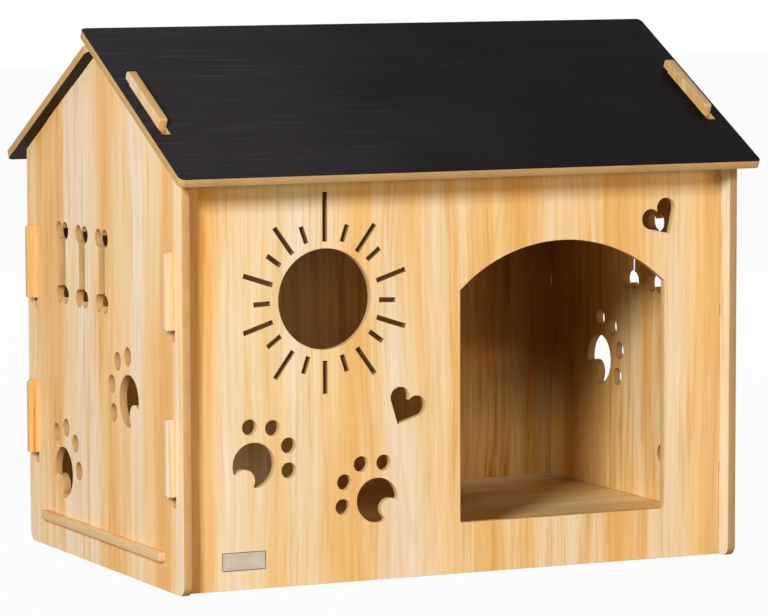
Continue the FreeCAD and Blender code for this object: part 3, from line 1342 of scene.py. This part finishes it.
@dataclass
class Studio:
    """Pale floor, white surround, soft lamps and the camera.

    Attributes:
        azimuth: the camera's turn from straight ahead, in radians.
        elevation: its rise above level, and roll is its turn about its own axis.
        distance: its distance from the target, in metres.
        focal_pixels: its focal length in pixels of the picture, and shift_pixels is its shift.
        sensor_width: width of its sensor, in millimetres.
        clip_end: how far it sees, in metres.
        ambient: strength of the light from the surround.
        floor_size: half the floor's width, in metres.
        floor_glow: how much of the seen floor is plain white.
    """

    image_width: int = 768
    azimuth: float = math.radians(-25.312)
    elevation: float = math.radians(6.1385)
    roll: float = math.radians(-0.1035)
    distance: float = 4.7356
    focal_pixels: float = 4372.6
    shift_pixels: tuple[float, float] = (-31.062, 43.408)
    target: Vector = field(default_factory=lambda: Vector((0, -0.0965, 0.2275)))
    sensor_width: float = 36.0
    clip_end: float = 60.0
    ambient: float = 0.02
    ambient_colour: Colour = (1.0, 0.76, 0.5, 1.0)
    floor_size: float = 12.0
    floor_colour: Colour = (0.3, 0.3, 0.3, 1.0)
    floor_glow: float = 0.97

    def build(self) -> None:
        """Makes the whole studio."""
        bpy.context.scene.view_settings.view_transform = "Standard"
        self.build_world()
        self.build_floor()
        self.build_lamps()
        self.build_camera()

    def build_world(self) -> None:
        """Makes a surround that is white where it is seen and dimmer where it lights."""
        world = bpy.data.worlds.new("surround")
        world.use_nodes = True
        bpy.context.scene.world = world
        graph = Graph(world.node_tree)
        light = {"Color": self.ambient_colour, "Strength": self.ambient}
        dim = graph.add("ShaderNodeBackground", sockets=light)
        bright = graph.add("ShaderNodeBackground", sockets={"Color": WHITE, "Strength": 1.0})
        sockets = {0: self.is_seen(graph), 1: dim, 2: bright}
        both = graph.add("ShaderNodeMixShader", sockets=sockets)
        graph.add("ShaderNodeOutputWorld", sockets={"Surface": both})

    @staticmethod
    def is_seen(graph: Graph) -> Socket:
        """Gives 1 for a ray from the camera, a reflection or glass.

        Args:
            graph: the graph that takes the nodes.

        Returns:
            The mask.
        """
        camera = graph.add("ShaderNodeLightPath", output="Is Camera Ray")
        node = camera.output.node
        glossy = Socket(graph, node.outputs["Is Glossy Ray"])
        clear = Socket(graph, node.outputs["Is Transmission Ray"])
        return camera.larger(glossy).larger(clear)

    def build_floor(self) -> None:
        """Makes the plain floor, which keeps a faint shadow."""
        shell = bmesh.new()
        bmesh.ops.create_grid(shell, x_segments=1, y_segments=1, size=self.floor_size)
        mesh = finished_mesh(shell, "studio_floor")
        sheet = add_object("studio_floor", mesh)
        material, graph = new_material("studio_floor")
        matt = graph.add("ShaderNodeBsdfDiffuse", sockets={"Color": self.floor_colour})
        glow = graph.add("ShaderNodeEmission", sockets={"Color": WHITE, "Strength": 1.0})
        sockets = {0: self.is_seen(graph) * self.floor_glow, 1: matt, 2: glow}
        both = graph.add("ShaderNodeMixShader", sockets=sockets)
        graph.add("ShaderNodeOutputMaterial", sockets={"Surface": both})
        mesh.materials.append(material)

    def build_lamps(self) -> None:
        """Makes the key, the fills, and the lamps for the sides that face away."""
        for lamp in (
            Lamp("key_light", -45.5, 21.3, 5.0, 0.8, 1.05, 276, (0.77, 0.87, 1.0)),
            Lamp("gable_light", -88, 0, 4.0, 1.4, 0.4, 25, (1.0, 0.55, 0.15)),
            Lamp("fill_light", 38, 6, 4.0, 2.2, 0.6, 53, (1.0, 0.64, 0.26)),
            Lamp("front_light", -35, 5, 4.0, 2.0, 0.5, 9, (0.95, 0.8, 0.1)),
            Lamp("back_light", 150, 13, 3.5, 1.6, 1.0, 58, (1.0, 0.96, 0.9)),
            Lamp("side_light", 100, 0, 4.0, 1.4, 0.4, 42, (0.62, 0.79, 1.0)),
        ):
            lamp.build()

    def build_camera(self) -> None:
        """Makes the camera at the photograph's angle."""
        back = direction(self.azimuth, self.elevation)
        right = Vector((math.cos(self.azimuth), math.sin(self.azimuth), 0))
        up = back.cross(right)
        tilted_right = right * math.cos(self.roll) + up * math.sin(self.roll)
        tilted_up = up * math.cos(self.roll) - right * math.sin(self.roll)
        data = bpy.data.cameras.new("camera")
        data.sensor_width = self.sensor_width
        data.lens = self.focal_pixels / self.image_width * data.sensor_width
        data.shift_x = self.shift_pixels[0] / self.image_width
        data.shift_y = self.shift_pixels[1] / self.image_width
        data.clip_end = self.clip_end
        camera = add_object("camera", data)
        turned = Matrix((tilted_right, tilted_up, back)).transposed().to_4x4()
        camera.matrix_world = Matrix.Translation(self.target + back * self.distance) @ turned
        bpy.context.scene.camera = camera


# ----------------------------------------------------------------------- main


def main() -> None:
    """Builds the kennel and its studio in order."""
    logging.basicConfig(level=logging.INFO, format="%(message)s")
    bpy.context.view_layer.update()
    wall_core = CutFibreboard(
        "wall_core", srgb(239, 204, 155), srgb(219, 180, 129), rays=RayRing(-0.1557, 0.3004, 0.058)
    ).build()
    # The gables' cores take painted shade below the eaves, and the right one on its cut-outs too.
    left_core = CutFibreboard(
        "left_core", srgb(243, 191, 127), srgb(206, 155, 92), painted_light_strength=0.16
    ).build()
    right_core = CutFibreboard(
        "right_core", srgb(240, 200, 146), srgb(210, 168, 114), cut_out_shade=0.2, painted_light_strength=0.36
    ).build()
    roof_core = CutFibreboard("roof_core", srgb(220, 180, 122), srgb(184, 143, 90)).build()
    Walls(wall_core).build()
    Gables(left_core, right_core).build()
    Floor(wall_core).build()
    Roof(roof_core).build()
    NamePlate().build()
    Studio().build()


if __name__ == "__main__":
    main()
